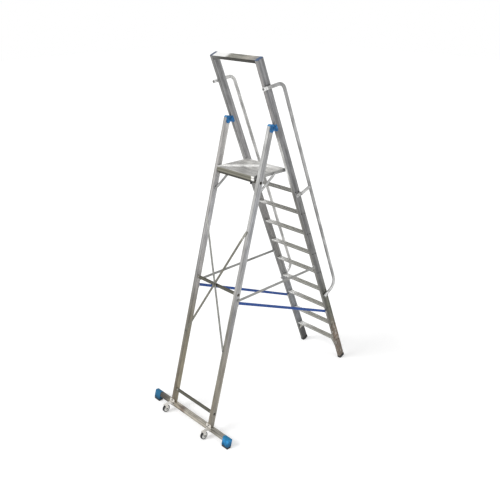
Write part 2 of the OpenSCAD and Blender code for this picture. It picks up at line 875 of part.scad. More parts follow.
module strut(s) {
    color([0.82, 0.82, 0.8]) on_side(s) world() {
        translate([strut_x, strut_pin[0], strut_pin[1]]) rotate([strut_tilt, 0, 0]) difference() {
            union() {
                translate([0, 22, 0]) rotate([-90, 0, 0]) linear_extrude(strut_len - 44) {
                    rounded(2 * strut_r, strut_w, strut_r - 1);
                }
                translate([-3, 0, -10]) cube([6, strut_len, 20]);
                rod(-3, 3, 10);
                translate([0, strut_len, 0]) {
                    rod(-3, 3, 10);
                    rod(deck_half_w + gap - strut_x, 0, 5);
                    rod(3, 6, 8);
                }
            }
            rod(-20, 20, 5 + run_fit);
        }
    }
}

// pivots of the spreader bars, on small tabs in front of the climbing stiles
module bar_tabs() {
    t = 3.5;
    face_v = climb_d / 2;
    pin_v = climb_v(bar_pin);
    color([0.6, 0.6, 0.58]) both() climb() translate([0, 0, climb_u(bar_pin)]) {
        translate([half_w - 12, face_v, -18]) cube([bar_x - gap - half_w + 12, t, 36]);
        translate([bar_x - gap - t, face_v, -12]) cube([t, pin_v - face_v, 24]);
        translate([0, pin_v, 0]) {
            rod(bar_x - gap - t, bar_x - gap, 12);
            rod(bar_x - gap, bar_x + bar_t + gap, 5);
            rod(bar_x + bar_t + gap, bar_x + bar_t + gap + 3, 8);
        }
    }
}

module spread_bar(s) {
    length = bar_end - bar_pin[0];
    color([0.66, 0.66, 0.64]) on_side(s) world() translate([bar_x, bar_pin[0], bar_z]) {
        difference() {
            union() {
                translate([0, 0, -bar_w / 2]) cube([bar_t, length, bar_w]);
                rod(0, bar_t, bar_w / 2);
                translate([0, length, 0]) {
                    rod(0, bar_t, bar_w / 2);
                    rod(s_outer_x + gap - bar_x, bar_t + 4, 5);
                    rod(bar_t, bar_t + 4, 8);
                }
            }
            rod(-5, 20, 5 + run_fit);
        }
    }
}

climb_stile(-1);  // climb_stile_left
climb_stile(1);  // climb_stile_right
step(1);  // step_1
step(2);  // step_2
step(3);  // step_3
step(4);  // step_4
step(5);  // step_5
step(6);  // step_6
step(7);  // step_7
step(8);  // step_8
step(9);  // step_9
step_rivets();
step_gussets();
top_bar();
top_caps();
climb_feet();
handrail(-1);  // handrail_left
handrail(1);  // handrail_right
handrail_brackets();
handrail_bolts();
hinge_brackets();
hinge_pins();
platform_pins();
bar_tabs();
strap_clips_climb();
strap(-1);  // strap_left
strap(1);  // strap_right
support_stile(-1);  // support_stile_left
support_stile(1);  // support_stile_right
hinge_caps();
cross_tube(tube_z);  // platform_tube
cross_tube(mid_z);  // mid_tube
cross_tube(low_z);  // lower_tube
brace(-1, 1);  // brace_front
brace(1, 0);  // brace_rear
support_bolts();
traverse();
traverse_feet();
traverse_soles();
traverse_brackets();
roller_forks();
roller_axles();
strap_clips_support();
strut_pins();
platform_deck();
platform_front();
platform_side(-1);  // platform_side_left
platform_side(1);  // platform_side_right
platform_hooks();
platform_knob();
strut(-1);  // strut_left
strut(1);  // strut_right
spread_bar(-1);  // spread_bar_left
spread_bar(1);  // spread_bar_right
roller_wheel(-1);  // roller_wheel_left
roller_wheel(1);  // roller_wheel_right
roller_tyre(-1);  // roller_tyre_left
roller_tyre(1);  // roller_tyre_right
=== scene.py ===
import math

import bmesh
import bpy
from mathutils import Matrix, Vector


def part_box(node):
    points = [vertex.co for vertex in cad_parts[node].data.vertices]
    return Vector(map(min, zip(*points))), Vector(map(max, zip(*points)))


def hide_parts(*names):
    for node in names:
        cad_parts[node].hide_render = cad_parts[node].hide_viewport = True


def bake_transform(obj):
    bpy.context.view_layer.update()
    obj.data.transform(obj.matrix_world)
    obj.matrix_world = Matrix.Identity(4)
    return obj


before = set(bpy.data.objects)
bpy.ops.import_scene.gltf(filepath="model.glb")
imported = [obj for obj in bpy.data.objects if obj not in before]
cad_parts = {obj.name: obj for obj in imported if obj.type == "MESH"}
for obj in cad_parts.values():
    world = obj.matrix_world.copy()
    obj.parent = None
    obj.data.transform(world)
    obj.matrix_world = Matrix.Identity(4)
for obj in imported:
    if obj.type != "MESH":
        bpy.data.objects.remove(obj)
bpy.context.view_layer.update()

# Climbing stiles
# Two long hollow aluminium profiles, drawn through a die and left in mill finish. The drawing lines
# run along the profile, and handling has dulled the metal in long soft patches.


class Socket:
    """An output in a material's node tree. Sums and products of it are new Math nodes."""

    def __init__(self, tree, output=None):
        self.tree = tree
        self.output = output

    def node(self, kind, settings=None, sockets=None, out=0):
        """Adds a node, sets it up, fills or links its sockets and gives one of its outputs."""
        made = self.tree.nodes.new("ShaderNode" + kind)
        for name, value in (settings or {}).items():
            setattr(made, name, value)
        for name, value in (sockets or {}).items():
            if isinstance(value, Socket):
                self.tree.links.new(value.output, made.inputs[name])
            else:
                made.inputs[name].default_value = value
        return Socket(self.tree, made.outputs[out])

    def math(self, operation, first, second=0.0):
        return self.node("Math", {"operation": operation}, {0: first, 1: second})

    def __add__(self, other):
        return self.math("ADD", self, other)

    __radd__ = __add__

    def __sub__(self, other):
        return self.math("SUBTRACT", self, other)

    def __rsub__(self, other):
        return self.math("SUBTRACT", other, self)

    def __mul__(self, other):
        return self.math("MULTIPLY", self, other)

    __rmul__ = __mul__

    def __truediv__(self, other):
        return self.math("DIVIDE", self, other)

    def __rtruediv__(self, other):
        return self.math("DIVIDE", other, self)

    def __neg__(self):
        return self.math("MULTIPLY", self, -1.0)

    def sine(self):
        return self.math("SINE", self)

    def rise(self, low, high):
        """0 below low, 1 above high, and a smooth step between them."""
        ends = {"Value": self, "From Min": low, "From Max": high}
        return self.node("MapRange", {"interpolation_type": "SMOOTHSTEP"}, ends)

    def mix(self, colour_a, colour_b):
        """Colour a where this is 0 and colour b where it is 1."""
        ends = {0: self, 6: colour_a, 7: colour_b}
        return self.node("Mix", {"data_type": "RGBA"}, ends, out=2)


def rgb(red, green, blue):
    return (red, green, blue, 1.0)


def shade(colour, factor):
    return rgb(*(min(1.0, part * factor) for part in colour[:3]))


def make_finish(name, constants, varying):
    """A material whose shader takes plain values from constants and node outputs from varying."""
    material = bpy.data.materials.new(name)
    material.use_nodes = True
    tree = material.node_tree
    shader = tree.nodes["Principled BSDF"]
    for socket, value in constants.items():
        shader.inputs[socket].default_value = value
    for socket, value in varying(Socket(tree)).items():
        tree.links.new(value.output, shader.inputs[socket])
    return material


def place_of(start, turn=0.0):
    """Where a point lies on the piece, turned about X so that a leaning piece stands upright."""
    place = start.node("TexCoord", out="Object")
    return start.node("VectorRotate", {"rotation_type": "X_AXIS"}, {"Vector": place, "Angle": turn})


def grain(start, place, stretch, detail=3.0):
    """Noise from 0 to 1 with that many waves to the metre along X, Y and Z."""
    stretched = start.node("VectorMath", {"operation": "MULTIPLY"}, {0: place, 1: stretch})
    return start.node("TexNoise", None, {"Vector": stretched, "Scale": 1.0, "Detail": detail})


def bump(start, height, strength, depth):
    return start.node("Bump", None, {"Height": height, "Strength": strength, "Distance": depth})


# waves of noise to the metre, across the metal and along it
DRAWING_LINES = (700.0, 5.0)
BROAD_STREAKS = (90.0, 1.2)
DULL_PATCHES = (30.0, 9.0)
# the band that holds most of the noise's values
NOISE_BAND = (0.36, 0.64)
# the strength of the drawing lines' relief, and its depth
DRAWN_RELIEF = (0.25, 0.0004)


def along(axis, across_waves, along_waves):
    return tuple(along_waves if letter == axis else across_waves for letter in "XYZ")


def part_of(start, vector, axis):
    return start.node("SeparateXYZ", None, {0: vector}, out="XYZ".index(axis))


def ramp(value, stops):
    """A colour that runs through the stops, each a place along the piece and a colour."""
    colour = stops[0][1]
    for (low, _), (high, upper) in zip(stops, stops[1:]):
        colour = value.rise(low, high).mix(colour, upper)
    return colour


def scaled(start, colour, factor):
    return start.node("VectorMath", {"operation": "SCALE"}, {0: colour, "Scale": factor})


DIRT = rgb(0.13, 0.085, 0.055)
WORN_SPOT = rgb(0.42, 0.39, 0.36)
SPOT_WAVES = (38.0, 38.0, 26.0)


def drawn_metal(name, stops, sides=None, axis="Z", turn=0.0, origin=0.0, metal=0.4, rough=0.34,
                contrast=0.3, corners=0.0, stain=0.0):
    """Drawn aluminium: fine lines along its length, broad streaks, dulled patches, and painted shade on
    the rounded corners.

    The stops give its colour along its length, and sides the colour of the faces that look along X:
    painted shade that sets those faces apart from the others.
    Below the height of the stain it is spotted with brown dirt and with worn places.
    """

    def varying(start):
        place = place_of(start, turn)
        fine = grain(start, place, along(axis, *DRAWING_LINES))
        broad = grain(start, place, along(axis, *BROAD_STREAKS), 2.0)
        dull = grain(start, place, along(axis, *DULL_PATCHES), 4.0)
        level = (0.2 * fine + 0.45 * broad + 0.35 * dull).rise(*NOISE_BAND)
        run = part_of(start, place, axis) + origin
        colour = ramp(run, stops)
        # Painted shade by face direction: the faces that look along X take the side colours.
        facing = part_of(start, start.node("TexCoord", out="Normal"), "X")
        turned = facing * facing
        if sides is not None:
            colour = turned.rise(0.35, 0.65).mix(colour, ramp(run, sides))
        if stain > 0.0:
            low = 1.0 - run.rise(0.6 * stain, stain)
            dirt = grain(start, place, SPOT_WAVES, 4.0)
            colour = (low * dirt.rise(0.52, 0.6)).mix(colour, DIRT)
            colour = (low * (1.0 - dirt.rise(0.36, 0.42))).mix(colour, WORN_SPOT)
        # Painted shade: the rounded corners between the faces are darkened.
        corner = 1.0 - corners * turned.rise(0.05, 0.2) * (1.0 - turned.rise(0.8, 0.95))
        return {
            "Base Color": scaled(start, colour, (1.0 - contrast + 2.0 * contrast * level) * corner),
            "Roughness": rough - 0.08 + 0.16 * fine + 0.1 * dull.rise(0.45, 0.75),
            "Normal": bump(start, fine, *DRAWN_RELIEF),
        }

    return make_finish(name, {"Metallic": metal}, varying)


def plain(colour):
    return [(0.0, colour), (1.0, colour)]


def dress(material, *names):
    for name in names:
        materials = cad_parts[name].data.materials
        materials.clear()
        materials.append(material)


# the stiles' lean, and how far along it the origin lies from their feet
CLIMB_LEAN = math.radians(21.75)
CLIMB_ORIGIN = 0.383
# The near stile's bright band from 2.6 to 2.8 along its length is a painted reflection.
dress(
    drawn_metal(
        "near_climbing_stile",
        [(0.1, rgb(0.15, 0.125, 0.095)), (0.8, rgb(0.135, 0.132, 0.118)), (2.3, rgb(0.21, 0.205, 0.19)),
         (2.6, rgb(0.80, 0.80, 0.78)), (2.8, rgb(0.78, 0.78, 0.76)), (3.0, rgb(0.26, 0.25, 0.245))],
        [(0.15, rgb(0.15, 0.125, 0.10)), (0.35, rgb(0.22, 0.175, 0.135)), (0.75, rgb(0.105, 0.105, 0.08)),
         (1.4, rgb(0.155, 0.155, 0.152)), (3.4, rgb(0.235, 0.235, 0.24))],
        turn=CLIMB_LEAN, origin=CLIMB_ORIGIN, contrast=0.42, corners=0.4, stain=0.75,
    ),
    "climb_stile_left",
)
dress(
    drawn_metal(
        "far_climbing_stile",
        [(0.1, rgb(0.07, 0.072, 0.064)), (0.45, rgb(0.18, 0.182, 0.18)), (2.2, rgb(0.18, 0.178, 0.17)),
         (2.7, rgb(0.29, 0.287, 0.28)), (3.2, rgb(0.185, 0.184, 0.18))],
        [(0.1, rgb(0.052, 0.05, 0.048)), (0.45, rgb(0.22, 0.23, 0.245)), (1.5, rgb(0.205, 0.20, 0.19)),
         (2.8, rgb(0.33, 0.325, 0.325)), (3.3, rgb(0.27, 0.27, 0.272))],
        turn=CLIMB_LEAN, origin=CLIMB_ORIGIN, contrast=0.4, corners=0.4,
    ),
    "climb_stile_right",
)

# Treads
# Nine hollow profiles with ten grooves along the top, pushed between the stiles and flanged over
# outside them. Shoes polish the ribs, and dust stays in the grooves.
tread_low, tread_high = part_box("step_1")
RIB_SPACES = 12
RIB_PITCH = (tread_high.y - tread_low.y) / RIB_SPACES
TREAD_WEAR = (60.0, 16.0)
tread_axis = (tread_low + tread_high) / 2


def tread_look(start):
    place = place_of(start)
    x, y, z = (part_of(start, place, axis) for axis in "XYZ")
    across = y - z * math.tan(CLIMB_LEAN) - (tread_axis.y - tread_axis.z * math.tan(CLIMB_LEAN))
    ribs = (across * (2 * math.pi / RIB_PITCH)).sine()
    lines = grain(start, place, along("X", *DRAWING_LINES))
    worn = grain(start, place, along("X", *TREAD_WEAR), 4.0)
    # Painted highlight: the colour rises to near white towards the +X ends, with worn noise along its
    # edge.
    wear_and_light = x + 0.1 * worn
    colour = ramp(wear_and_light, [
        (0.06, rgb(0.36, 0.355, 0.32)), (0.17, rgb(0.44, 0.435, 0.41)), (0.28, rgb(0.86, 0.855, 0.83)),
    ])
    # Painted shade: the faces that don't look up are made darker.
    upward = part_of(start, start.node("TexCoord", out="Normal"), "Z").rise(0.3, 0.7)
    level = (0.3 * lines + 0.4 * worn + 0.15 * ribs + 0.15).rise(0.3, 0.7)
    return {
        "Base Color": scaled(start, colour, (0.65 + 0.7 * level) * (0.7 + 0.3 * upward)),
        "Roughness": 0.3 + 0.22 * worn,
        "Normal": bump(start, lines, *DRAWN_RELIEF),
    }


dress(make_finish("ribbed_tread", {"Metallic": 0.4}, tread_look), *(f"step_{k}" for k in range(1, 10)))
dress(drawn_metal("tread_bead", plain(rgb(0.055, 0.055, 0.052)), rough=0.3), "step_rivets")
dress(drawn_metal("tread_gusset", plain(rgb(0.34, 0.33, 0.30)), axis="X"), "step_gussets")

# Top bar and its caps
# A flat hollow profile across the stiles' upper ends, with a painted highlight at one end, and
# two moulded plastic caps in the stile ends.
BAR_LINES = (160.0, 4.0)
BAR_PATCHES = (45.0, 12.0)
# where the painted highlight at the +X end begins, and where it is full
HIGHLIGHT_FROM = 0.06
HIGHLIGHT_TO = 0.12


def top_bar_look(start):
    place = place_of(start, CLIMB_LEAN)
    lines = grain(start, place, along("X", *BAR_LINES), 2.0)
    dull = grain(start, place, along("X", *BAR_PATCHES), 4.0)
    x = part_of(start, place, "X")
    upper = ramp(x, [
        (-0.28, rgb(0.19, 0.185, 0.18)), (-0.17, rgb(0.30, 0.28, 0.24)), (-0.06, rgb(0.20, 0.195, 0.16)),
        (HIGHLIGHT_FROM, rgb(0.19, 0.185, 0.15)), (HIGHLIGHT_TO, rgb(0.82, 0.82, 0.81)),
    ])
    # Painted shade: the faces that don't look up take a much darker colour.
    front = ramp(x, [(0.1, rgb(0.03, 0.028, 0.022)), (0.26, rgb(0.12, 0.12, 0.115))])
    upward = part_of(start, start.node("TexCoord", out="Normal"), "Z").rise(0.4, 0.75)
    level = (0.5 * lines + 0.5 * dull).rise(*NOISE_BAND)
    bright = x.rise(HIGHLIGHT_FROM, HIGHLIGHT_TO)
    strength = 0.55 + 0.45 * bright + (0.9 - 0.8 * bright) * level
    return {
        "Base Color": scaled(start, upward.mix(front, upper), strength),
        "Roughness": 0.26 + 0.2 * dull,
        "Normal": bump(start, lines, 0.2, 0.0004),
    }


dress(make_finish("top_bar_aluminium", {"Metallic": 0.3}, top_bar_look), "top_bar")

SCUFF_WAVES = (35.0, 35.0, 35.0)


def moulded(name, tone, rough=0.32, coat=0.3, pebble=900.0, blotch=0.12, painted_far_side=None, painted_top_light=None,
            gloss=0.5, darker_below=0.0):
    """Moulded plastic or rubber: a fine pebble from the mould, and scuffs that dull it.

    The colour given for the +X side of the object is a painted change of light between the near part
    and the far part, and the one given for the faces that look up is painted light from above.
    Below the height given as the last argument it gets darker.
    """

    def varying(start):
        place = place_of(start)
        pebbles = grain(start, place, (pebble,) * 3, 2.0)
        scuffs = grain(start, place, SCUFF_WAVES, 5.0)
        colour = scuffs.rise(0.35, 0.7).mix(shade(tone, 1 - blotch), shade(tone, 1 + blotch))
        # Painted light from above: the faces that look up take their own colour.
        if painted_top_light is not None:
            upward = part_of(start, start.node("TexCoord", out="Normal"), "Z")
            colour = upward.rise(0.2, 0.8).mix(colour, painted_top_light)
        # Painted light: the part on the +X side takes its own colour.
        if painted_far_side is not None:
            colour = part_of(start, place, "X").rise(-0.05, 0.05).mix(colour, painted_far_side)
        # Darker towards the bottom.
        if darker_below > 0.0:
            colour = scaled(start, colour, 0.5 + 0.5 * part_of(start, place, "Z").rise(0.3 * darker_below, darker_below))
        return {
            "Base Color": colour,
            "Roughness": rough + 0.2 * scuffs.rise(0.4, 0.8),
            "Normal": bump(start, pebbles, 0.12, 0.0003),
        }

    constants = {"Coat Weight": coat, "Coat Roughness": 0.15, "Specular IOR Level": gloss}
    return make_finish(name, constants, varying)


# The far cap at +X takes a greyer colour: painted light.
dress(
    moulded("cap_plastic", rgb(0.026, 0.07, 0.17), coat=0.0, painted_far_side=rgb(0.06, 0.085, 0.14), gloss=0.25),
    "top_caps",
)

# Rubber shoes
# Black moulded shoes pushed over the climbing stiles' lower ends. They are cut level with the ground,
# and dust has dulled them.
dress(moulded("shoe_rubber", rgb(0.012, 0.012, 0.012), 0.6, 0.0, 500.0, 0.4), "climb_feet")

# Handrails
# Bent aluminium tube beside each climbing stile, on a stay at mid height and bolted through its ends.
# Hands keep the tube brighter than the stiles, and the far tube's lighter tone is painted light.
RUBBED = rgb(0.66, 0.66, 0.65)
# how far from the origin the stiles' middle line passes: the tubes' cut ends stand out beyond it
STILE_MIDDLE = 0.961


def handrail_look(start, tone):
    place = place_of(start, CLIMB_LEAN)
    lines = grain(start, place, along("Z", *DRAWING_LINES))
    dull = grain(start, place, along("Z", *DULL_PATCHES), 4.0)
    # Painted highlight: the cut ends beyond the stiles are near white.
    cut_end = (part_of(start, place, "Y") + STILE_MIDDLE).rise(0.02, 0.04)
    level = (0.4 * lines + 0.6 * dull).rise(*NOISE_BAND)
    wear_and_light = ramp(part_of(start, place, "Z") + CLIMB_ORIGIN, [(0.85, RUBBED), (1.2, tone)])
    return {
        "Base Color": scaled(start, cut_end.mix(wear_and_light, rgb(0.9, 0.9, 0.89)), 0.65 + 0.7 * level),
        "Roughness": 0.2 + 0.16 * lines + 0.1 * dull,
        "Normal": bump(start, lines, *DRAWN_RELIEF),
    }


# The far tube's lighter tone is painted light: a lit copy of the near tube's colour.
for side, tone in (("left", rgb(0.37, 0.37, 0.367)), ("right", rgb(0.52, 0.517, 0.505))):
    tube = make_finish(
        f"handrail_tube_{side}", {"Metallic": 0.55}, lambda start: handrail_look(start, tone),
    )
    dress(tube, f"handrail_{side}")
dress(drawn_metal("handrail_stay", plain(rgb(0.55, 0.55, 0.54)), axis="Y"), "handrail_brackets")

SPANGLE_WAVES = (220.0, 220.0, 220.0)


def plated(name, tone, rough=0.3):
    """Zinc-plated steel: faintly mottled, with dull spots."""

    def varying(start):
        place = place_of(start)
        spots = grain(start, place, SPANGLE_WAVES, 5.0)
        colour = spots.rise(0.3, 0.7).mix(shade(tone, 0.75), shade(tone, 1.2))
        return {
            "Base Color": colour,
            "Roughness": rough + 0.2 * spots,
            "Normal": bump(start, spots, 0.1, 0.0003),
        }

    return make_finish(name, {"Metallic": 0.75}, varying)


bolt_zinc = plated("bolt_zinc", rgb(0.36, 0.36, 0.35))
dress(bolt_zinc, "handrail_bolts")

# Fold hinges
# A blue moulded saddle on each climbing stile and a blue forked cap on each support stile, turning on
# a pin with a darker plastic head at both ends.
# The hinge faces that look up are painted lighter: a painted highlight.
dress(
    moulded(
        "hinge_plastic", rgb(0.016, 0.175, 0.45), rough=0.3, coat=0.0, blotch=0.4, gloss=0.25,
        painted_top_light=rgb(0.08, 0.25, 0.46),
    ),
    "hinge_brackets", "hinge_caps",
)
dress(moulded("pin_head_plastic", rgb(0.008, 0.09, 0.24), 0.34, 0.0, gloss=0.25), "hinge_pins")

# Support stiles
# Two lighter hollow aluminium profiles that carry the platform and fold in about the blue hinges. Their
# warm tint towards the ground is a painted warm reflection from the ground.
SUPPORT_LEAN = math.radians(-15.66)
SUPPORT_ORIGIN = 0.259
dress(
    drawn_metal(
        "near_support_stile",
        [(0.2, rgb(0.18, 0.16, 0.125)), (0.9, rgb(0.225, 0.215, 0.185)), (1.6, rgb(0.32, 0.315, 0.31)),
         (2.6, rgb(0.45, 0.45, 0.44))],
        [(0.2, rgb(0.29, 0.265, 0.22)), (0.6, rgb(0.33, 0.30, 0.25)), (1.1, rgb(0.245, 0.24, 0.24)),
         (1.5, rgb(0.38, 0.38, 0.38)), (2.1, rgb(0.39, 0.395, 0.41)), (2.7, rgb(0.31, 0.31, 0.31))],
        turn=SUPPORT_LEAN, origin=SUPPORT_ORIGIN, contrast=0.36, corners=0.35,
    ),
    "support_stile_left",
)
dress(
    drawn_metal(
        "far_support_stile",
        [(0.2, rgb(0.155, 0.13, 0.095)), (0.9, rgb(0.215, 0.20, 0.165)), (1.6, rgb(0.31, 0.305, 0.30)),
         (2.6, rgb(0.325, 0.315, 0.305))],
        [(0.2, rgb(0.28, 0.245, 0.175)), (0.9, rgb(0.21, 0.19, 0.145)), (1.5, rgb(0.37, 0.355, 0.345)),
         (2.1, rgb(0.46, 0.46, 0.47)), (2.7, rgb(0.56, 0.545, 0.53))],
        turn=SUPPORT_LEAN, origin=SUPPORT_ORIGIN, contrast=0.36, corners=0.35,
    ),
    "support_stile_right",
)

# Cross tubes
# Three round tubes through holes in the support stiles, flanged outside. The platform rests on the
# highest.
dress(
    drawn_metal(
        "cross_tube_aluminium",
        [(-0.25, rgb(0.26, 0.25, 0.22)), (-0.235, rgb(0.06, 0.057, 0.04)),
         (0.235, rgb(0.06, 0.057, 0.04)), (0.25, rgb(0.26, 0.25, 0.22))],
        axis="X", metal=0.1, rough=0.5, contrast=0.4,
    ),
    "platform_tube", "mid_tube", "lower_tube",
)

# Crossed braces
# Two flat bars bolted over the support stiles and to each other where they cross. Bars and bolts are
# cleaner towards their upper ends.
dress(
    drawn_metal("front_brace_flat", [(1.81, rgb(0.155, 0.15, 0.122)), (1.87, rgb(0.30, 0.295, 0.26))]),
    "brace_front",
)
dress(
    drawn_metal("rear_brace_flat", [(1.72, rgb(0.23, 0.23, 0.212)), (1.80, rgb(0.40, 0.40, 0.38))]),
    "brace_rear",
)
dress(
    drawn_metal(
        "brace_bolt_zinc", [(1.4, rgb(0.10, 0.10, 0.095)), (1.6, rgb(0.40, 0.395, 0.37))], metal=0.75,
    ),
    "support_bolts",
)

# Foot traverse
# A rectangular tube across the support stiles' feet, held by two bent steel plates, with a blue
# plastic foot on a rubber sole at each end.
dress(
    drawn_metal(
        "traverse_aluminium",
        [(-0.4, rgb(0.25, 0.24, 0.205)), (-0.16, rgb(0.32, 0.295, 0.25)), (0.06, rgb(0.35, 0.325, 0.275)),
         (0.12, rgb(0.15, 0.115, 0.09)), (0.2, rgb(0.34, 0.305, 0.245)), (0.45, rgb(0.062, 0.055, 0.044))],
        axis="X", contrast=0.48,
    ),
    "traverse",
)
dress(plated("bracket_zinc", rgb(0.66, 0.63, 0.58)), "traverse_brackets")
# Painted light on the feet: the faces that look up take their own darker colour, and the far foot at +X is
# darker, a painted shade. Both get darker towards the bottom.
dress(
    moulded(
        "foot_plastic", rgb(0.03, 0.22, 0.47), rough=0.34, coat=0.0, blotch=0.35, gloss=0.1,
        painted_top_light=rgb(0.015, 0.18, 0.36), painted_far_side=rgb(0.022, 0.135, 0.26), darker_below=0.065,
    ),
    "traverse_feet",
)
dress(moulded("sole_rubber", rgb(0.014, 0.014, 0.014), 0.62, 0.0, 500.0, 0.4), "traverse_soles")

# Rollers
# A plated fork on each bracket holds a light moulded wheel with a dark rubber tyre, which turns on a
# steel axle.
dress(plated("fork_zinc", rgb(0.68, 0.66, 0.62)), "roller_forks")
dress(plated("axle_steel", rgb(0.06, 0.06, 0.06)), "roller_axles")
dress(
    moulded("wheel_plastic", rgb(0.78, 0.78, 0.75), 0.4, 0.1),
    "roller_wheel_left", "roller_wheel_right",
)
dress(
    moulded("tyre_rubber", rgb(0.02, 0.02, 0.021), 0.6, 0.0, 420.0, 0.3, gloss=0.3),
    "roller_tyre_left", "roller_tyre_right",
)

# Platform
# A ribbed deck between two side rails, with a plain profile along its front edge, plates in the front
# corners that sit on the platform tube, and a small knob that releases it.
deck_low, deck_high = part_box("platform_deck")
DECK_LENGTH = deck_high.y - deck_low.y
DECK_WEAR = (22.0, 9.0)
# the painted reflection across the deck, a diagonal sheen: its slope, its shift, and the squared distances
# where it fades
SHEEN_SLOPE = 1.035
SHEEN_SHIFT = 0.063
SHEEN_FADE = (0.0002, 0.0055)


def deck_look(start):
    place = place_of(start)
    lines = grain(start, place, along("X", *DRAWING_LINES))
    worn = grain(start, place, along("X", *DECK_WEAR), 5.0)
    level = (0.3 * lines + 0.7 * worn).rise(0.34, 0.66)
    x, y = (part_of(start, place, axis) for axis in "XY")
    # Painted reflection: a soft diagonal band of near-white sheen across the deck.
    off_sheen = x - SHEEN_SLOPE * y + 0.05 * worn + SHEEN_SHIFT
    sheen = 1.0 - (off_sheen * off_sheen).rise(*SHEEN_FADE)
    colour = sheen.mix(rgb(0.46, 0.455, 0.44), rgb(0.84, 0.835, 0.82))
    # Painted light: outside the sheen, the deck is made lighter towards its climbing side.
    climbing_side_share = (deck_high.y - y) / DECK_LENGTH
    painted_back_light = (0.92 + 0.42 * climbing_side_share.rise(0.25, 0.9)) * (1.0 - sheen) + sheen
    return {
        "Base Color": scaled(start, colour, (0.8 + 0.4 * level) * painted_back_light),
        "Roughness": 0.3 + 0.22 * worn,
        "Normal": bump(start, lines, *DRAWN_RELIEF),
    }


front_low, front_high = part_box("platform_front")
FRONT_HEIGHT = front_high.z - front_low.z
FRONT_GROOVES = 2
FRONT_WEAR = (40.0, 12.0)


def front_look(start):
    place = place_of(start)
    depth = (front_high.z - part_of(start, place, "Z")) / FRONT_HEIGHT
    grooves = (depth * (2 * math.pi * FRONT_GROOVES)).sine()
    worn = grain(start, place, along("X", *FRONT_WEAR), 4.0)
    lip = depth.rise(0.76, 0.9)
    corner = (-part_of(start, place, "X")).rise(0.2, 0.215)
    level = (0.6 + 0.5 * grooves.rise(-0.6, 0.6) + 0.4 * worn) * (1.0 - 0.85 * lip)
    colour = corner.mix(rgb(0.165, 0.158, 0.125), rgb(0.8, 0.79, 0.76))
    return {
        "Base Color": scaled(start, colour, level),
        "Roughness": 0.32 + 0.2 * worn,
        "Normal": bump(start, grooves, 0.3, 0.001),
    }


dress(make_finish("deck_aluminium", {"Metallic": 0.35}, deck_look), "platform_deck")
dress(make_finish("front_aluminium", {"Metallic": 0.35}, front_look), "platform_front")
dress(
    drawn_metal("side_rail_aluminium", plain(rgb(0.34, 0.34, 0.33)), axis="Y"),
    "platform_side_left", "platform_side_right",
)
dress(plated("corner_plate", rgb(0.68, 0.68, 0.67)), "platform_hooks")
dress(moulded("knob_plastic", rgb(0.012, 0.012, 0.013), 0.4, 0.1), "platform_knob")
dress(bolt_zinc, "platform_pins", "strut_pins")
dress(
    drawn_metal("strut_tube", plain(rgb(0.44, 0.44, 0.435)), axis="Y", metal=0.3),
    "strut_left", "strut_right",
)

# Spreader bars
# Flat aluminium bars that keep the frames apart, hinged on plated tabs at the climbing stiles. The same
# zinc is on the clips that hold the straps.
dress(
    drawn_metal("spreader_flat", plain(rgb(0.26, 0.26, 0.25)), axis="Y"),
    "spread_bar_left", "spread_bar_right",
)
dress(bolt_zinc, "bar_tabs", "strap_clips_climb", "strap_clips_support")

# Straps
# Blue woven polyester webbing from each climbing stile up to the support stile. Each end is turned
# back over its clip and sewn down with a box of stitches.
STRAP_WIDTH = 0.028
STRAP_THICK = 0.0013
LAYER_APART = 0.0015
TURNED_BACK = 0.055
RINGS = 90
TURN_STEPS = 4
TURN_INSET = 0.001
WARP_PITCH = 0.0022
WEFT_PITCH = 0.0018
FADED_WAVES = (14.0, 3.0, 60.0)
STITCH_PITCH = 0.0035
STITCH_SHARE = 0.46
THREAD_R = 0.0005
BOX_FROM_CLIP = 0.012
BOX_FROM_END = 0.006
BOX_SHARE = 0.36


def webbing_look(start, tilt):
    place = place_of(start, -tilt)
    warp = (part_of(start, place, "Z") * (2 * math.pi / WARP_PITCH)).sine()
    weft = (part_of(start, place, "Y") * (2 * math.pi / WEFT_PITCH)).sine()
    weave = 0.5 + 0.25 * warp + 0.25 * weft * warp
    faded = grain(start, place, FADED_WAVES, 4.0)
    level = 0.55 * weave + 0.45 * faded
    return {
        "Base Color": level.rise(0.2, 0.8).mix(rgb(0.012, 0.04, 0.17), rgb(0.04, 0.125, 0.46)),
        "Roughness": 0.7 + 0.2 * weave,
        "Normal": bump(start, weave, 0.5, 0.0004),
    }


def sewn_piece(name, mesh):
    """A smooth piece of a strap, from its finished mesh."""
    data = bpy.data.meshes.new(name)
    mesh.to_mesh(data)
    mesh.free()
    data.polygons.foreach_set("use_smooth", [True] * len(data.polygons))
    made = bpy.data.objects.new(name, data)
    bpy.context.scene.collection.objects.link(made)
    return made


def band(name, line, across, thick):
    """A flat band along a line of points: a thin rounded section, with its edges a little thicker."""
    section = [(-1.0, 0.0), (-0.97, 0.55), (-0.86, 0.5), (0.0, 0.42), (0.86, 0.5), (0.97, 0.55)]
    section += [(-a, -b) for a, b in section]
    mesh = bmesh.new()
    rings = []
    for i, point in enumerate(line):
        ahead = (line[min(i + 1, len(line) - 1)] - line[max(i - 1, 0)]).normalized()
        out = ahead.cross(across).normalized()
        spots = [point + across * (a * STRAP_WIDTH / 2) + out * (b * thick) for a, b in section]
        rings.append([mesh.verts.new(spot) for spot in spots])
    count = len(section)
    for low, high in zip(rings, rings[1:]):
        for k in range(count):
            mesh.faces.new((low[k], low[(k + 1) % count], high[(k + 1) % count], high[k]))
    mesh.faces.new(list(reversed(rings[0])))
    mesh.faces.new(rings[-1])
    bmesh.ops.recalc_face_normals(mesh, faces=mesh.faces[:])
    return sewn_piece(name, mesh)


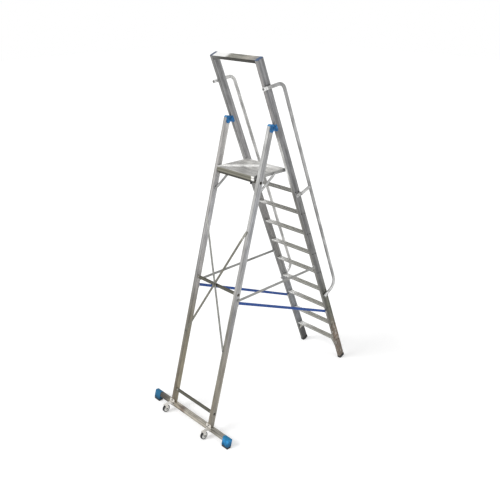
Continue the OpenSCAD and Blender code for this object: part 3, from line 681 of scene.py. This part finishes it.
def stitches(name, lines):
    """Rows of sewing thread: one long rounded bead for each stitch."""
    mesh = bmesh.new()
    for first, last in lines:
        whole = last - first
        count = max(1, round(whole.length / STITCH_PITCH))
        turn = Vector((0, 0, 1)).rotation_difference(whole)
        for k in range(count):
            middle = first + whole * ((k + 0.5) / count)
            made = bmesh.ops.create_uvsphere(mesh, u_segments=8, v_segments=6, radius=1.0)
            for vert in made["verts"]:
                x, y, z = vert.co
                sized = Vector((x * THREAD_R, y * THREAD_R, z * STITCH_PITCH * STITCH_SHARE))
                vert.co = middle + turn @ sized
    return sewn_piece(name, mesh)


def strap_ends(node):
    """The middles of the two ends of a strap's solid: the climbing end and the support end."""
    corners = sorted((v.co.copy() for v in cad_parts[node].data.vertices), key=lambda p: p.y)
    half = len(corners) // 2
    return sum(corners[:half], Vector()) / half, sum(corners[half:], Vector()) / half


def turned_end(end, way, layer):
    """The half turn round a clip, from one layer of the webbing to the other."""
    angles = [math.pi * k / TURN_STEPS for k in range(TURN_STEPS + 1)]
    return [
        end + way * (TURN_INSET - LAYER_APART / 2 * math.sin(angle)) + layer * math.cos(angle)
        for angle in angles
    ]


thread = moulded("sewing_thread", rgb(0.05, 0.11, 0.34), 0.7, 0.0, 3000.0, 0.2)
low_end, high_end = strap_ends("strap_left")
strap_tilt = math.atan2(high_end.z - low_end.z, high_end.y - low_end.y)
webbing = make_finish("strap_webbing", {}, lambda start: webbing_look(start, strap_tilt))
for side in ("left", "right"):
    strap_node = f"strap_{side}"
    low_end, high_end = strap_ends(strap_node)
    run = (high_end - low_end).normalized()
    outward = Vector((1, 0, 0)) if low_end.x > 0 else Vector((-1, 0, 0))
    across = run.cross(outward)
    length = (high_end - low_end).length
    inner, outer = outward * (-LAYER_APART / 2), outward * (LAYER_APART / 2)
    line = [low_end + run * s + outer for s in (TURNED_BACK, TURNED_BACK / 2)]
    line += turned_end(low_end, run, outer)
    line += [low_end + run * (length * k / RINGS) + inner for k in range(1, RINGS)]
    line += turned_end(high_end, -run, inner)
    line += [high_end - run * s + outer for s in (TURNED_BACK / 2, TURNED_BACK)]
    strap = band(f"webbing_{side}", line, across, STRAP_THICK)
    strap.data.materials.append(webbing)
    rows = []
    for end, way in ((low_end, run), (high_end, -run)):
        face = outer + outward * (STRAP_THICK / 2)
        edge = across * (STRAP_WIDTH * BOX_SHARE)
        near, far = (end + way * s + face for s in (BOX_FROM_CLIP, TURNED_BACK - BOX_FROM_END))
        rows += [(near + edge, far + edge), (near - edge, far - edge)]
        rows += [(near - edge, near + edge), (far - edge, far + edge), (near - edge, far + edge)]
    sewn = stitches(f"webbing_stitches_{side}", rows)
    sewn.data.materials.append(thread)
    for piece in (strap, sewn):
        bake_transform(piece)
    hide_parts(strap_node)

# Studio
# A pale floor that runs out into a white surround, one broad lamp on the support side, a weaker one
# from the climbing side, and the camera where the photograph was taken.
FLOOR_HALF = 30.0
FLOOR_DROP = 0.0005
floor_mesh = bpy.data.meshes.new("floor")
floor_corners = [(FLOOR_HALF * x, FLOOR_HALF * y, 0) for x, y in ((-1, -1), (1, -1), (1, 1), (-1, 1))]
floor_mesh.from_pydata(floor_corners, [], [(0, 1, 2, 3)])
floor = bpy.data.objects.new("floor", floor_mesh)
bpy.context.scene.collection.objects.link(floor)
floor.location.z = -FLOOR_DROP


def seen_ray(start):
    """1 for rays from the camera, mirrors and glass, and 0 for those that only carry light."""
    camera, glossy, through = (
        start.node("LightPath", out=f"Is {kind} Ray") for kind in ("Camera", "Glossy", "Transmission")
    )
    return (camera + glossy + through).rise(0.0, 1.0)


FLOOR_GLOW = 0.3
floor_paint = make_finish(
    "floor_paint",
    {"Base Color": rgb(0.85, 0.85, 0.85), "Roughness": 0.9, "Specular IOR Level": 0.0,
     "Emission Strength": FLOOR_GLOW},
    lambda start: {"Emission Color": seen_ray(start).mix(rgb(0, 0, 0), rgb(1, 1, 1))},
)
floor_mesh.materials.append(floor_paint)

SURROUND = 0.55
world = bpy.data.worlds.new("surround")
bpy.context.scene.world = world
world.use_nodes = True
background = world.node_tree.nodes["Background"]
sky = Socket(world.node_tree)
glow = seen_ray(sky).mix(rgb(SURROUND, SURROUND, SURROUND), rgb(1, 1, 1))
world.node_tree.links.new(glow.output, background.inputs["Color"])


def lamp(name, aim_from, strength, softness):
    data = bpy.data.lights.new(name, "SUN")
    data.energy = strength
    data.angle = math.radians(softness)
    made = bpy.data.objects.new(name, data)
    made.rotation_mode = "QUATERNION"
    made.rotation_quaternion = Vector(aim_from).to_track_quat("Z", "Y")
    bpy.context.scene.collection.objects.link(made)


lamp("support_side_lamp", (0.35, 1.0, 0.9), 1.7, 30.0)
lamp("climbing_side_lamp", (-1.0, 0.1, 0.8), 0.5, 40.0)

CAMERA_AT = Vector((-4.11477, 4.13458, 3.98106))
CAMERA_AZIMUTH = math.radians(225.912)
CAMERA_HEIGHT = math.radians(22.7625)
SENSOR_MM = 36.0
LENS_MM = 46.5
camera_data = bpy.data.cameras.new("camera")
camera_data.sensor_width = SENSOR_MM
camera_data.lens = LENS_MM
camera = bpy.data.objects.new("camera", camera_data)
camera.location = CAMERA_AT
camera.rotation_mode = "QUATERNION"
looking_back = Vector((
    math.sin(CAMERA_AZIMUTH) * math.cos(CAMERA_HEIGHT),
    -math.cos(CAMERA_AZIMUTH) * math.cos(CAMERA_HEIGHT),
    math.sin(CAMERA_HEIGHT),
))
camera.rotation_quaternion = (-looking_back).to_track_quat("-Z", "Y")
bpy.context.scene.collection.objects.link(camera)
bpy.context.scene.camera = camera
bpy.context.scene.view_settings.view_transform = "Standard"
